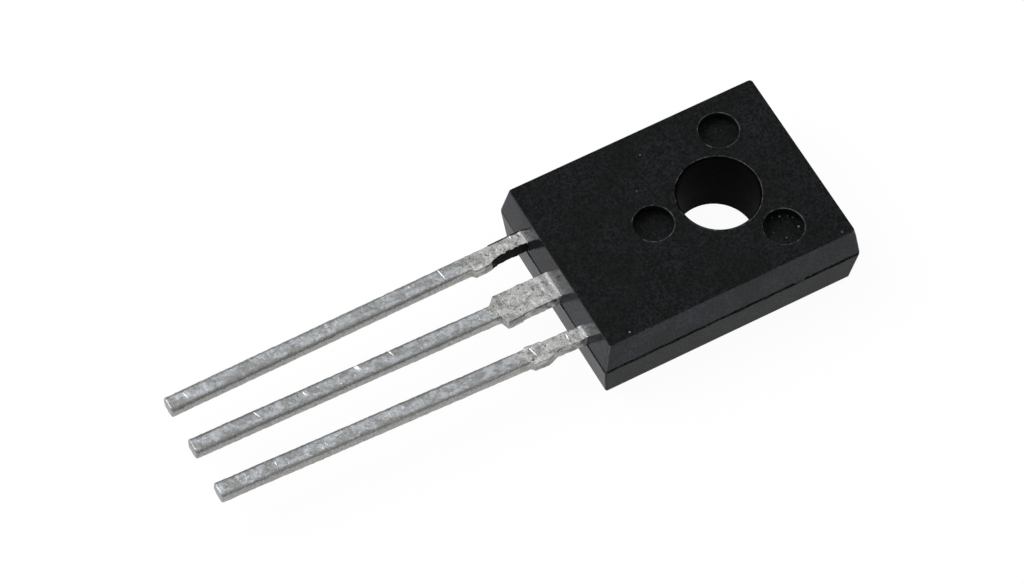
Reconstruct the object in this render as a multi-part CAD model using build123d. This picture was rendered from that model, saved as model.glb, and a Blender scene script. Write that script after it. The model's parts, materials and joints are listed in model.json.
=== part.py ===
from build123d import *
import os

# Power transistor in a flat, fully moulded three-lead package with a screw hole. All sizes are millimetres.
# The origin is on the axis of the screw hole, in the plane of the back face.
# +Z points out of the front face, and the leads run towards -Y.

# Moulded body
body_width = 8.0
body_length = 10.8
body_thickness = 3.2
hole_to_far_end = 3.8
parting_height = 1.8
parting_groove_height = 0.15
parting_groove_depth = 0.09
parting_groove_end_cover = 0.3
front_side_inset = 0.19
front_lead_end_inset = 0.24
front_far_end_inset = 0.19
back_side_inset = 0.18
back_lead_end_inset = 0.17
back_far_end_inset = 0.22
lead_end_corner_radius = 0.08
far_end_corner_radius = 0.15
front_edge_radius = 0.06
back_edge_radius = 0.05

# Screw hole, and the marks of the mould's ejector pins around it
hole_diameter = 3.1
hole_rim_chamfer = 0.08
pin_mark_count = 3
pin_mark_diameter = 1.56
pin_mark_depth = 0.45
pin_mark_floor_chamfer = 0.03
pin_mark_ring_radius = 2.77

# Leads, as far as they stand out of the body
lead_pitch = 2.3
lead_width = 0.64
lead_thickness = 0.52
lead_top_height = 2.2
lead_free_length = 14.7
lead_edge_radius = 0.08
lead_corner_radius = 0.11
emitter_tip_shift = 0.1
collector_tip_shift = -0.24
base_tip_shift = -0.5

# What the trimmed dam bar left on the leads
dam_bar_distance = 1.9
dam_bar_width = 0.8
dam_stub_depth = 0.15
dam_stub_slope = 0.12
small_stub_depth = 0.06
emitter_stub_lead_in = 0.4
base_stub_lead_in = 0.35
shoulder_width = 1.23
shoulder_slope = 0.3

# Inner ends of the outer leads, where the wires are bonded
post_width = 1.5
post_length = 0.9
post_depth = 1.9

# Paddle at the inner end of the collector lead, which carries the die
paddle_height = 0.6
paddle_side_cover = 0.8
paddle_far_end_cover = 0.9
paddle_lead_end_cover = 1.6
paddle_corner_radius = 0.4
paddle_hole_wall = 0.6
offset_start_depth = 0.8

# Silicon die and the solder under it
die_width = 1.7
die_length = 1.25
die_thickness = 0.25
solder_margin = 0.05
solder_thickness = 0.04

# Bond wires
wire_diameter = 0.2
wire_foot_diameter = 0.36
wire_foot_height = 0.1
wire_loop_height = 0.32
wire_shoulder_share = 0.3
wire_spacing = 1.0

# Length by which a cutting tool passes the face that it cuts
overrun = 1.0

# Places that follow from the sizes above
far_end = hole_to_far_end
lead_end = hole_to_far_end - body_length
lead_bottom_height = lead_top_height - lead_thickness
lead_tip = lead_end - lead_free_length
dam_bar_near = lead_end - dam_bar_distance + dam_bar_width / 2
dam_bar_far = dam_bar_near - dam_bar_width
paddle_top_height = paddle_height + lead_thickness
paddle_lead_end = lead_end + paddle_lead_end_cover
paddle_hole_radius = hole_diameter / 2 + paddle_hole_wall
die_place = (paddle_lead_end - paddle_hole_radius) / 2
die_bottom_height = paddle_top_height + solder_thickness
die_top_height = die_bottom_height + die_thickness
post_middle = lead_end + post_depth - post_length / 2


def box_between(low, high):
    """Block between two opposite corners."""
    size = Vector(*high) - Vector(*low)
    corner = (Align.MIN, Align.MIN, Align.MIN)
    return Pos(*low) * Box(size.X, size.Y, size.Z, align=corner)


def body_section(height, side_inset, lead_end_inset, far_end_inset):
    """Rounded outline of the body at one height, set in from the parting line."""
    width = body_width - 2 * side_inset
    length = body_length - lead_end_inset - far_end_inset
    middle = (far_end - far_end_inset + lead_end + lead_end_inset) / 2
    outline = Rectangle(width, length)
    outline = fillet(outline.vertices().group_by(Axis.Y)[0], lead_end_corner_radius)
    outline = fillet(outline.vertices().group_by(Axis.Y)[-1], far_end_corner_radius)
    return Pos(0, middle, height) * outline


def parting_groove():
    """Narrow groove just below the parting line, which stops short of the corners and at the emitter lead."""
    low = parting_height - parting_groove_height
    across = body_width / 2 - parting_groove_depth
    along = body_width / 2 - parting_groove_end_cover
    near = lead_end + parting_groove_depth
    far = far_end - parting_groove_depth
    start = lead_end + parting_groove_end_cover
    stop = far_end - parting_groove_end_cover
    return [
        box_between((across, start, low), (across + overrun, stop, parting_height)),
        box_between((-across - overrun, start, low), (-across, stop, parting_height)),
        box_between((-lead_pitch, near - overrun, low), (along, near, parting_height)),
        box_between((-along, far, low), (along, far + overrun, parting_height)),
    ]


def body_form():
    """Both halves of the moulding, with draft away from the parting line, the hole and the pin marks."""
    parting = body_section(parting_height, 0, 0, 0)
    front = body_section(body_thickness, front_side_inset, front_lead_end_inset, front_far_end_inset)
    front_half = loft([parting, front])
    front_half = fillet(front_half.faces().sort_by(Axis.Z)[-1].edges(), front_edge_radius)

    back = body_section(0, back_side_inset, back_lead_end_inset, back_far_end_inset)
    back_half = loft([back, parting])
    back_half = fillet(back_half.faces().sort_by(Axis.Z)[0].edges(), back_edge_radius)

    body = front_half + back_half - parting_groove()
    body -= Pos(0, 0, body_thickness / 2) * Cylinder(hole_diameter / 2, body_thickness + 2 * overrun)
    front_face = body.faces().sort_by(Axis.Z)[-1]
    body = chamfer(front_face.inner_wires()[0].edges(), hole_rim_chamfer)

    mark_floor = body_thickness - pin_mark_depth
    mark = Pos(0, 0, mark_floor) * extrude(Circle(pin_mark_diameter / 2), pin_mark_depth + overrun)
    mark = chamfer(mark.faces().sort_by(Axis.Z)[0].edges(), pin_mark_floor_chamfer)
    for place in PolarLocations(pin_mark_ring_radius, pin_mark_count, start_angle=-90):
        body -= Pos(place.position) * mark
    return body


def side_of_lead(edge, tip_shift, outward, stub_depth, lead_in=0):
    """Points down one side of a leaning lead, from the body past its dam bar stub to the tip."""

    def leaning(away, place):
        return edge + outward * away + tip_shift * (lead_end - place) / lead_free_length, place

    points = [leaning(0, lead_end), leaning(0, lead_tip)]
    if stub_depth > 0:
        points[1:1] = [
            leaning(0, dam_bar_near + lead_in),
            leaning(stub_depth, dam_bar_near - dam_stub_slope),
            leaning(stub_depth, dam_bar_far + dam_stub_slope),
            leaning(0, dam_bar_far),
        ]
    return points


def rounded_lead(left, right):
    """Solid between two side outlines, with its corners and its long edges rounded outside the body."""

    def is_free(edge):
        return edge.center().Y < lead_end - lead_edge_radius

    outline = make_face(Polyline(left + right[::-1], close=True))
    lead = Pos(0, 0, lead_bottom_height) * extrude(outline, lead_thickness)
    lead = fillet(lead.edges().filter_by(Axis.Z).filter_by(is_free), lead_corner_radius)
    rims = [edge for face in lead.faces().filter_by(Axis.Z) for edge in face.edges()]
    return fillet([edge for edge in rims if is_free(edge)], lead_edge_radius)


def outer_lead(place, tip_shift, left_stub, right_stub, right_lead_in=0):
    """Emitter or base lead: bonding post in the body, and a free lead with dam bar stubs."""
    left = side_of_lead(place - lead_width / 2, tip_shift, -1, left_stub)
    right = side_of_lead(place + lead_width / 2, tip_shift, 1, right_stub, right_lead_in)
    lead = rounded_lead(left, right)
    lead += box_between(
        (place - lead_width / 2, lead_end, lead_bottom_height),
        (place + lead_width / 2, post_middle, lead_top_height),
    )
    post = Pos(place, post_middle) * RectangleRounded(post_width, post_length, lead_corner_radius)
    return lead + Pos(0, 0, lead_bottom_height) * extrude(post, lead_thickness)


def collector_lead():
    """Centre lead with its wide shoulder and the offset bend that ends on the edge of the paddle."""
    half_width = lead_width / 2
    half_shoulder = shoulder_width / 2
    shoulder_end = dam_bar_far + dam_stub_slope
    left = [
        (-half_shoulder, lead_end),
        (-half_shoulder, shoulder_end),
        (-half_width, shoulder_end - shoulder_slope),
        (-half_width + collector_tip_shift, lead_tip),
    ]
    crest = half_shoulder + small_stub_depth
    right = [
        (half_shoulder, lead_end),
        (half_shoulder, dam_bar_near),
        (crest, dam_bar_near - dam_stub_slope),
        (crest, shoulder_end),
        (half_width, shoulder_end - dam_stub_slope),
        (half_width + collector_tip_shift, lead_tip),
    ]
    lead = rounded_lead(left, right)

    bend_start = lead_end + offset_start_depth
    offset = [
        (lead_end, lead_bottom_height),
        (lead_end, lead_top_height),
        (bend_start, lead_top_height),
        (paddle_lead_end, paddle_top_height),
        (paddle_lead_end, paddle_height),
        (bend_start, lead_bottom_height),
    ]
    strip = make_face(Plane.YZ * Polyline(offset, close=True))
    return lead + extrude(strip, half_shoulder, both=True)


def collector_paddle():
    """Plate under the die, which reaches round the screw hole behind a wall of moulding compound."""
    paddle_far_end = far_end - paddle_far_end_cover
    paddle_width = body_width - 2 * paddle_side_cover
    middle = (paddle_far_end + paddle_lead_end) / 2
    plan = RectangleRounded(paddle_width, paddle_far_end - paddle_lead_end, paddle_corner_radius)
    plan = Pos(0, middle) * plan - Circle(paddle_hole_radius)
    return Pos(0, 0, paddle_height) * extrude(plan, lead_thickness)


def bond_wire(die_x, post_x):
    """Wire loop from the top of the die to a bonding post, with a flattened foot at each end."""
    start = Vector(die_x, die_place, die_top_height)
    end = Vector(post_x, post_middle, lead_top_height)
    across = Vector(end.X - start.X, end.Y - start.Y, 0)
    loop = Plane(origin=start, x_dir=across, z_dir=across.cross(Vector(0, 0, 1)))
    drop = lead_top_height - die_top_height
    rise = drop + wire_loop_height
    span = across.length
    shoulder = wire_shoulder_share * span
    path = loop * Polyline((0, 0), (0, drop), (shoulder, rise), (span, drop + wire_diameter), (span, drop))
    wire = sweep(Pos(start) * Circle(wire_diameter / 2), path=path, transition=Transition.RIGHT)
    foot = extrude(Circle(wire_foot_diameter / 2), wire_foot_height)
    return wire + Pos(start) * foot + Pos(end) * foot


emitter = outer_lead(-lead_pitch, emitter_tip_shift, 0, dam_stub_depth, emitter_stub_lead_in)
base = outer_lead(lead_pitch, base_tip_shift, small_stub_depth, dam_stub_depth, base_stub_lead_in)
collector = collector_lead()
paddle = collector_paddle()

solder = Pos(0, die_place, paddle_top_height) * extrude(
    Rectangle(die_width + 2 * solder_margin, die_length + 2 * solder_margin), solder_thickness
)
die = Pos(0, die_place, die_bottom_height) * extrude(Rectangle(die_width, die_length), die_thickness)
emitter_wire = bond_wire(-wire_spacing / 2, -lead_pitch)
base_wire = bond_wire(wire_spacing / 2, lead_pitch)

# The moulding compound fills all the room that the other pieces leave inside the body
inner_pieces = {
    "emitter_lead": emitter,
    "collector_lead": collector,
    "collector_paddle": paddle,
    "base_lead": base,
    "die_solder": solder,
    "silicon_die": die,
    "emitter_wire": emitter_wire,
    "base_wire": base_wire,
}
body = body_form()
for piece in inner_pieces.values():
    body -= piece

os.makedirs("parts", exist_ok=True)
for name, piece in {"moulded_body": body, **inner_pieces}.items():
    export_step(piece, f"parts/{name}.step")
    print(name, "volume", round(piece.volume, 3), "box", piece.bounding_box().size)
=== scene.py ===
# %% [markdown]
# # A flat moulded power transistor
#
# A black moulded body with a screw hole holds three tinned leads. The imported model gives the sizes
# and the places. This lesson rebuilds what the eye sees of it: the two halves of the moulding, the
# marks that the mould left, the solder-dipped leads, and a scrap of flash beside one of them.

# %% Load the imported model
import json
import math

import bmesh
import bpy
from mathutils import Matrix, Vector, noise


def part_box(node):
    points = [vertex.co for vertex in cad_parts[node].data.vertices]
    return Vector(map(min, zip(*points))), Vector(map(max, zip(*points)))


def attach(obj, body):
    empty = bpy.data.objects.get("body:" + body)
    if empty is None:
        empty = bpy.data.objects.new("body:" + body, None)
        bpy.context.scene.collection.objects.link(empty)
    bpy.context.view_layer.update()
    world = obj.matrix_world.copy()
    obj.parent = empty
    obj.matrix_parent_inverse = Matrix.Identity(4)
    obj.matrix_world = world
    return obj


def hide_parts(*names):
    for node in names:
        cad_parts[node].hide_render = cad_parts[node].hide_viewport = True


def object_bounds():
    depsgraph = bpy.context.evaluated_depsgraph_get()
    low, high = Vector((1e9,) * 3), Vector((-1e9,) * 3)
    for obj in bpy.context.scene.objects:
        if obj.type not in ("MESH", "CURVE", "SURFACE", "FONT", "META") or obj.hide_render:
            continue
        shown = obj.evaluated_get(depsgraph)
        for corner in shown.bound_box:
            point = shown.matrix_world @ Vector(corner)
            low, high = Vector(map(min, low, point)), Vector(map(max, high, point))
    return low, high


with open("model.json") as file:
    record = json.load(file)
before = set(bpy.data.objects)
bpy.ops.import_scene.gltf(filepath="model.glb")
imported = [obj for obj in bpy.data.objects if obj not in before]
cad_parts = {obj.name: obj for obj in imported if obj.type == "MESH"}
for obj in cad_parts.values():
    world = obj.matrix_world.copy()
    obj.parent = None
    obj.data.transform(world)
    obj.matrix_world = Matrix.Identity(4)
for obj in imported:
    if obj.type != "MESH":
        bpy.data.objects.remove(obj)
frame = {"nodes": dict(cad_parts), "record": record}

MM = 0.001
cad_low, cad_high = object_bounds()
body_low, body_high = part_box("moulded_body")
print("nodes:", ", ".join(sorted(frame["nodes"])))
print("body from", body_low / MM, "to", body_high / MM, "mm")

# %% [markdown]
# ## Camera
#
# The camera stands where the photograph was taken from, high over the base lead and close by. Its
# place, its aim and its long lens were solved from the corners of the body, so the part fills the
# picture in the same way. A camera turned by hand with a tracking constraint would also do, but
# three named values say exactly what was found.

# %% Place the camera
camera_eye = Vector((76.02, -51.44, 147.26)) * MM
camera_aim = Vector((-0.441, -8.455, 2.2)) * MM
camera_roll = math.radians(0.727)
picture_width_px = 1024
focal_length_px = 4618.7
sensor_width_mm = 36
nearest_seen = 5 * MM

camera_data = bpy.data.cameras.new("camera")
camera_data.sensor_width = sensor_width_mm
camera_data.lens = sensor_width_mm * focal_length_px / picture_width_px
camera_data.clip_start = nearest_seen
camera = bpy.data.objects.new("camera", camera_data)
bpy.context.scene.collection.objects.link(camera)
looking = (camera_aim - camera_eye).to_track_quat("-Z", "Y").to_matrix().to_4x4()
camera.matrix_world = Matrix.Translation(camera_eye) @ looking @ Matrix.Rotation(camera_roll, 4, "Z")
bpy.context.scene.camera = camera
bpy.context.scene.view_settings.view_transform = "Standard"
print("lens", round(camera_data.lens, 1), "mm")

# %% [markdown]
# ## Table
#
# The part lies on a white table that is part glowing white and part plain white. The glow keeps the
# picture's background white, also in mirrors, and the plain part still takes the shadow. A table that
# is only plain would look grey wherever the light falls off.

# %% Build the table
table_half_size = 2.0
table_gap = 0.004 * MM
table_glow_share = 0.95
table_white = (0.93, 0.93, 0.93, 1)


def link(tree, output, socket):
    tree.links.new(output, socket)


def arithmetic(tree, operation, *parts):
    """Math node whose inputs are plain numbers or the outputs of other nodes."""
    node = tree.nodes.new("ShaderNodeMath")
    node.operation = operation
    for socket, part in zip(node.inputs, parts):
        if isinstance(part, (int, float)):
            socket.default_value = part
        else:
            link(tree, part, socket)
    return node.outputs[0]


def table_material():
    """White that glows for the eye and for mirrors, and is a plain diffuse surface for other light."""
    material = bpy.data.materials.new("table_white")
    material.use_nodes = True
    tree = material.node_tree
    tree.nodes.clear()
    plain = tree.nodes.new("ShaderNodeBsdfDiffuse")
    plain.inputs["Color"].default_value = table_white
    glow = tree.nodes.new("ShaderNodeEmission")
    ray = tree.nodes.new("ShaderNodeLightPath")
    mix = tree.nodes.new("ShaderNodeMixShader")
    output = tree.nodes.new("ShaderNodeOutputMaterial")
    seen = arithmetic(tree, "MAXIMUM", ray.outputs["Is Camera Ray"], ray.outputs["Is Glossy Ray"])
    seen = arithmetic(tree, "MAXIMUM", seen, ray.outputs["Is Transmission Ray"])
    link(tree, arithmetic(tree, "MULTIPLY", seen, table_glow_share), mix.inputs["Fac"])
    link(tree, plain.outputs[0], mix.inputs[1])
    link(tree, glow.outputs[0], mix.inputs[2])
    link(tree, mix.outputs[0], output.inputs["Surface"])
    return material


table_mesh = bmesh.new()
bmesh.ops.create_grid(table_mesh, x_segments=1, y_segments=1, size=table_half_size)
bmesh.ops.translate(table_mesh, verts=table_mesh.verts, vec=(0, 0, cad_low.z - table_gap))
table_data = bpy.data.meshes.new("table")
table_mesh.to_mesh(table_data)
table_mesh.free()
table_data.materials.append(table_material())
table = bpy.data.objects.new("table", table_data)
bpy.context.scene.collection.objects.link(table)
print("table glows by a share of", table_glow_share)

# %% [markdown]
# ## Sky and sun
#
# The light is soft. The sky is brighter overhead than at the horizon, as in a light tent with an open
# front, because rounded metal looks like metal only when it mirrors both light and dark. One wide sun
# from the side of the leads gives the shadow its direction.

# %% Light the sky and the sun
sky_overhead = 0.78
sky_horizon = 0.26
sky_full_rise = 0.9
sky_white = (1, 1, 1, 1)
sun_strength = 2.0
sun_width = math.radians(45)
sun_from = Vector((-0.45, -0.52, 0.72))


def studio_sky():
    """Soft sky that darkens towards the horizon."""
    world = bpy.data.worlds.new("studio_sky")
    world.use_nodes = True
    tree = world.node_tree
    place = tree.nodes.new("ShaderNodeTexCoord")
    split = tree.nodes.new("ShaderNodeSeparateXYZ")
    rise = tree.nodes.new("ShaderNodeMapRange")
    rise.interpolation_type = "SMOOTHSTEP"
    rise.inputs["From Max"].default_value = sky_full_rise
    rise.inputs["To Min"].default_value = sky_horizon
    rise.inputs["To Max"].default_value = sky_overhead
    link(tree, place.outputs["Generated"], split.inputs[0])
    link(tree, split.outputs["Z"], rise.inputs["Value"])
    link(tree, rise.outputs["Result"], tree.nodes["Background"].inputs["Strength"])
    tree.nodes["Background"].inputs["Color"].default_value = sky_white
    return world


bpy.context.scene.world = studio_sky()
sun_data = bpy.data.lights.new("sun", "SUN")
sun_data.energy = sun_strength
sun_data.angle = sun_width
sun = bpy.data.objects.new("sun", sun_data)
sun.matrix_world = (-sun_from).to_track_quat("-Z", "Y").to_matrix().to_4x4()
bpy.context.scene.collection.objects.link(sun)
print("sky from", sky_horizon, "to", sky_overhead, "and a sun of", sun_strength)

# %% [markdown]
# ## Shared patterns
#
# Two patterns come back in several finishes, so each is a node group. Mould grain is the fine pebble
# that spark erosion leaves in a mould and that every moulding then carries. Blotches are the soft
# patches of a dipped or worn metal. Both read a place in millimetres, so that a size in the group is
# a size on the part.

# %% Make the pattern groups
grain_detail = 4
grain_roughness = 0.65
grain_cells = 1.6
grain_cell_share = 0.4
blotch_detail = 3
blotch_distortion = 0.6


def new_group(name, numbers, results):
    """Empty node group with a Place vector, some number inputs and some number outputs."""
    group = bpy.data.node_groups.new(name, "ShaderNodeTree")
    group.interface.new_socket("Place", in_out="INPUT", socket_type="NodeSocketVector")
    for label in numbers:
        group.interface.new_socket(label, in_out="INPUT", socket_type="NodeSocketFloat")
    for label in results:
        group.interface.new_socket(label, in_out="OUTPUT", socket_type="NodeSocketFloat")
    return group, group.nodes.new("NodeGroupInput"), group.nodes.new("NodeGroupOutput")


def sized_place(group, start):
    """Place divided by Size, so that one unit of the pattern is one Size on the part."""
    scaled = group.nodes.new("ShaderNodeVectorMath")
    scaled.operation = "SCALE"
    link(group, start.outputs["Place"], scaled.inputs["Vector"])
    link(group, arithmetic(group, "DIVIDE", 1, start.outputs["Size"]), scaled.inputs["Scale"])
    return scaled.outputs["Vector"]


def make_grain():
    group, start, end = new_group("mould_grain", ["Size"], ["Height"])
    place = sized_place(group, start)
    soft = group.nodes.new("ShaderNodeTexNoise")
    soft.inputs["Scale"].default_value = 1
    soft.inputs["Detail"].default_value = grain_detail
    soft.inputs["Roughness"].default_value = grain_roughness
    cells = group.nodes.new("ShaderNodeTexVoronoi")
    cells.inputs["Scale"].default_value = grain_cells
    link(group, place, soft.inputs["Vector"])
    link(group, place, cells.inputs["Vector"])
    both = (cells.outputs["Distance"], grain_cell_share, soft.outputs["Fac"])
    link(group, arithmetic(group, "MULTIPLY_ADD", *both), end.inputs["Height"])
    return group


def make_blotches():
    group, start, end = new_group("blotches", ["Size", "Low", "High"], ["Mask"])
    place = sized_place(group, start)
    patch = group.nodes.new("ShaderNodeTexNoise")
    patch.inputs["Scale"].default_value = 1
    patch.inputs["Detail"].default_value = blotch_detail
    patch.inputs["Distortion"].default_value = blotch_distortion
    sharpen = group.nodes.new("ShaderNodeMapRange")
    sharpen.interpolation_type = "SMOOTHSTEP"
    link(group, place, patch.inputs["Vector"])
    link(group, patch.outputs["Fac"], sharpen.inputs["Value"])
    link(group, start.outputs["Low"], sharpen.inputs["From Min"])
    link(group, start.outputs["High"], sharpen.inputs["From Max"])
    link(group, sharpen.outputs["Result"], end.inputs["Mask"])
    return group


grain = make_grain()
blotches = make_blotches()
print("groups:", grain.name, "and", blotches.name)

# %% [markdown]
# ## Node helpers
#
# Each finish below starts from the same few moves: read the place in millimetres, put a pattern on
# it, blend two colours by a mask, and turn a height into a bump. A Mix node has sockets of the same
# name for numbers and for colours, so these go by their place in the list.

# %% Helpers for the finishes
mix_number_inputs = (2, 3)
mix_colour_inputs = (6, 7)
mix_colour_output = 2


def new_finish(name):
    material = bpy.data.materials.new(name)
    material.use_nodes = True
    tree = material.node_tree
    return material, tree, tree.nodes["Principled BSDF"]


def millimetres(tree, stretch=(1, 1, 1)):
    """Object coordinates in millimetres. A stretch above 1 draws the pattern out along that axis."""
    place = tree.nodes.new("ShaderNodeTexCoord")
    mapping = tree.nodes.new("ShaderNodeMapping")
    mapping.inputs["Scale"].default_value = [1 / (MM * part) for part in stretch]
    link(tree, place.outputs["Object"], mapping.inputs["Vector"])
    return mapping.outputs["Vector"]


def pattern(tree, group, place, **numbers):
    """Places a pattern group and returns its one output."""
    node = tree.nodes.new("ShaderNodeGroup")
    node.node_tree = group
    link(tree, place, node.inputs["Place"])
    for label, number in numbers.items():
        node.inputs[label].default_value = number
    return node.outputs[0]


def blend(tree, mask, low, high):
    """Colour that goes from low to high with the mask. Each end is a colour or another socket."""
    mix = tree.nodes.new("ShaderNodeMix")
    mix.data_type = "RGBA"
    link(tree, mask, mix.inputs["Factor"])
    for place, colour in zip(mix_colour_inputs, (low, high)):
        if isinstance(colour, tuple):
            mix.inputs[place].default_value = (*colour, 1)
        else:
            link(tree, colour, mix.inputs[place])
    return mix.outputs[mix_colour_output]


def spread(tree, mask, low, high, start=0):
    """Number that goes from low to high as the mask goes from start to 1."""
    node = tree.nodes.new("ShaderNodeMapRange")
    node.inputs["From Min"].default_value = start
    node.inputs["To Min"].default_value = low
    node.inputs["To Max"].default_value = high
    link(tree, mask, node.inputs["Value"])
    return node.outputs["Result"]


def raise_bump(tree, shader, height, depth_mm, strength):
    bump = tree.nodes.new("ShaderNodeBump")
    bump.inputs["Distance"].default_value = depth_mm * MM
    bump.inputs["Strength"].default_value = strength
    link(tree, height, bump.inputs["Height"])
    link(tree, bump.outputs["Normal"], shader.inputs["Normal"])


# %% [markdown]
# ## Moulding compound
#
# The body is black epoxy filled with glass powder. The front face copies a grained mould and looks
# matte, with fine light and dark flecks. The sides are drafted so that the part slides out of the
# mould, and they come out smoother: seen at a slant they mirror the table. The groove and the wall of
# the hole are duller again. One function makes all of them, because only the numbers differ. A second
# one makes a finish that is lighter in blotches: on the rounded corners, and further on the rims, the
# light blotches are a painted highlight, and on the bare grains of filler they are the grains' own
# colour.

# %% Make the finishes of the moulding
fleck_middle = 0.51
fleck_dark_share = 0.1
patch_light_shares = (1.9, 2.2, 2.5)
dust_light_share = 5
roughness_swings = (-0.03, 0.04)
highlight_and_filler_roughness = (0.6, 0.45)
highlight_and_filler_gloss = 0.3
highlight_and_filler_grain_size_mm = 0.04
highlight_and_filler_grain_depth_mm = 0.004


def moulding_finish(name, colour, roughness, gloss, grain_size_mm, grain_depth_mm, fleck=0.17):
    """Black epoxy. A smaller fleck range gives the fine light and dark flecks more contrast."""
    material, tree, shader = new_finish(name)
    place = millimetres(tree)
    pebble = pattern(tree, grain, place, Size=grain_size_mm)
    patches = pattern(tree, blotches, place, Size=1.3, Low=0.3, High=0.7)
    speckle = pattern(tree, blotches, place, Size=0.09, Low=fleck_middle - fleck, High=fleck_middle + fleck)
    dust = pattern(tree, blotches, place, Size=0.1, Low=0.68, High=0.76)
    darker = tuple(fleck_dark_share * part for part in colour)
    lighter = tuple(share * part for share, part in zip(patch_light_shares, colour))
    dusty = tuple(dust_light_share * part for part in colour)
    tone = blend(tree, speckle, darker, blend(tree, patches, colour, lighter))
    link(tree, blend(tree, dust, tone, dusty), shader.inputs["Base Color"])
    smoothest, roughest = (roughness + swing for swing in roughness_swings)
    link(tree, spread(tree, patches, smoothest, roughest), shader.inputs["Roughness"])
    shader.inputs["Specular IOR Level"].default_value = gloss
    raise_bump(tree, shader, pebble, grain_depth_mm, 1.0)
    return material


def highlight_and_filler_finish(name, dark, light, low, high):
    """Moulding lighter in patches: a painted highlight on corners and rims, the own colour of bare filler.
    The limits low and high set how much of it is light.
    """
    material, tree, shader = new_finish(name)
    place = millimetres(tree)
    rubbed = pattern(tree, blotches, place, Size=0.16, Low=low, High=high)
    pebble = pattern(tree, grain, place, Size=highlight_and_filler_grain_size_mm)
    link(tree, blend(tree, rubbed, dark, light), shader.inputs["Base Color"])
    link(tree, spread(tree, rubbed, *highlight_and_filler_roughness), shader.inputs["Roughness"])
    shader.inputs["Specular IOR Level"].default_value = highlight_and_filler_gloss
    raise_bump(tree, shader, pebble, highlight_and_filler_grain_depth_mm, 1.0)
    return material


front_finish = moulding_finish(
    "moulding_front", (0.0056, 0.0064, 0.0064), roughness=0.5, gloss=0.1,
    grain_size_mm=0.085, grain_depth_mm=0.03, fleck=0.11,
)
side_finish = moulding_finish(
    "moulding_sides", (0.0175, 0.0186, 0.0216), roughness=0.15, gloss=0.105,
    grain_size_mm=0.05, grain_depth_mm=0.0008, fleck=0.3,
)
lower_finish = moulding_finish(
    "moulding_lower_sides", (0.0178, 0.0179, 0.0168), roughness=0.2, gloss=0.019,
    grain_size_mm=0.05, grain_depth_mm=0.0008, fleck=0.3,
)
bore_finish = moulding_finish(
    "moulding_bore", (0.0016, 0.0016, 0.0015), roughness=0.6, gloss=0.014,
    grain_size_mm=0.07, grain_depth_mm=0.006,
)
groove_finish = moulding_finish(
    "moulding_groove", (0.036, 0.0368, 0.0368), roughness=0.6, gloss=0.02,
    grain_size_mm=0.05, grain_depth_mm=0.004, fleck=0.3,
)
# The rounded corners: lighter blotches as a painted highlight.
corner_highlight_finish = highlight_and_filler_finish(
    "moulding_corner_highlight", dark=(0.034, 0.036, 0.038), light=(0.062, 0.064, 0.068), low=0.3, high=0.7,
)
body_finishes = [side_finish, front_finish, bore_finish, lower_finish, groove_finish, corner_highlight_finish]
side_index, front_index, bore_index, lower_index, groove_index, corner_highlight_index = range(len(body_finishes))
print("finishes:", ", ".join(finish.name for finish in body_finishes))

# %% [markdown]
# ## Body
#
# The mould closes at the parting line, and both halves of the body taper away from it. A box with a
# bevel would miss the taper, so the body starts as one rounded rectangle that is extruded upwards
# section by section, and each new section is fitted to its own outline. The long sides are cut up, so
# that later steps have points to move along them.

# %% Fit a section to its outline
lead_end_corner_radius = 0.08 * MM
far_end_corner_radius = 0.05 * MM
corner_segments = 6
long_side_count = 4
side_cuts = 63
hair = 0.001 * MM


def section_outline(insets):
    """Half width and the two ends of a section that is set in from the box of the body."""
    side, lead_end, far_end = insets
    return body_high.x - side, body_low.y + lead_end, body_high.y - far_end


def first_section(bm, insets):
    half_width, low, high = section_outline(insets)
    middle = (low + high) / 2
    place = Matrix.Translation((0, middle, body_low.z))
    shape = Matrix.Diagonal((half_width, (high - low) / 2, 1, 1))
    bmesh.ops.create_grid(bm, x_segments=1, y_segments=1, size=1, matrix=place @ shape)
    for radius, at_leads in ((lead_end_corner_radius, True), (far_end_corner_radius, False)):
        corners = [vert for vert in bm.verts if (vert.co.y < middle) == at_leads]
        bmesh.ops.bevel(
            bm, geom=corners, offset=radius, offset_type="OFFSET",
            segments=corner_segments, profile=0.5, affect="VERTICES", material=-1,
        )
    long_sides = sorted(bm.edges, key=lambda edge: edge.calc_length())[-long_side_count:]
    bmesh.ops.subdivide_edges(bm, edges=long_sides, cuts=side_cuts)
    bm.faces.ensure_lookup_table()
    return bm.faces[0]


def extrude_open_face(bm, face):
    """Extrudes a face with its edges and points, so that no wall is left inside. Returns the new end."""
    grown = bmesh.ops.extrude_face_region(bm, geom=[face, *face.edges, *face.verts])["geom"]
    return next(part for part in grown if isinstance(part, bmesh.types.BMFace))


def next_section(bm, face, old_insets, insets, height):
    """Extrudes the open face to a new height and fits it to the next outline."""
    face = extrude_open_face(bm, face)
    old_half, old_low, old_high = section_outline(old_insets)
    half, low, high = section_outline(insets)
    for vert in face.verts:
        along = (vert.co.y - old_low) / (old_high - old_low)
        vert.co = (vert.co.x * half / old_half, low + along * (high - low), height)
    return face


print("corners of", lead_end_corner_radius / MM, "and", far_end_corner_radius / MM, "mm")

# %% [markdown]
# ## Groove and worn corners
#
# Just under the parting line runs a narrow groove that shows as a black line. It is uneven, breaks off
# twice on the side of the base lead and runs out at the corners. A Boolean with a wire would cut it
# evenly, so here two extra sections make it, and each of their points is moved back out by its own
# share. Noise gives the share, because noise is the same in every run. Near the front, handling has
# rubbed the two far corners wider.

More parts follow.
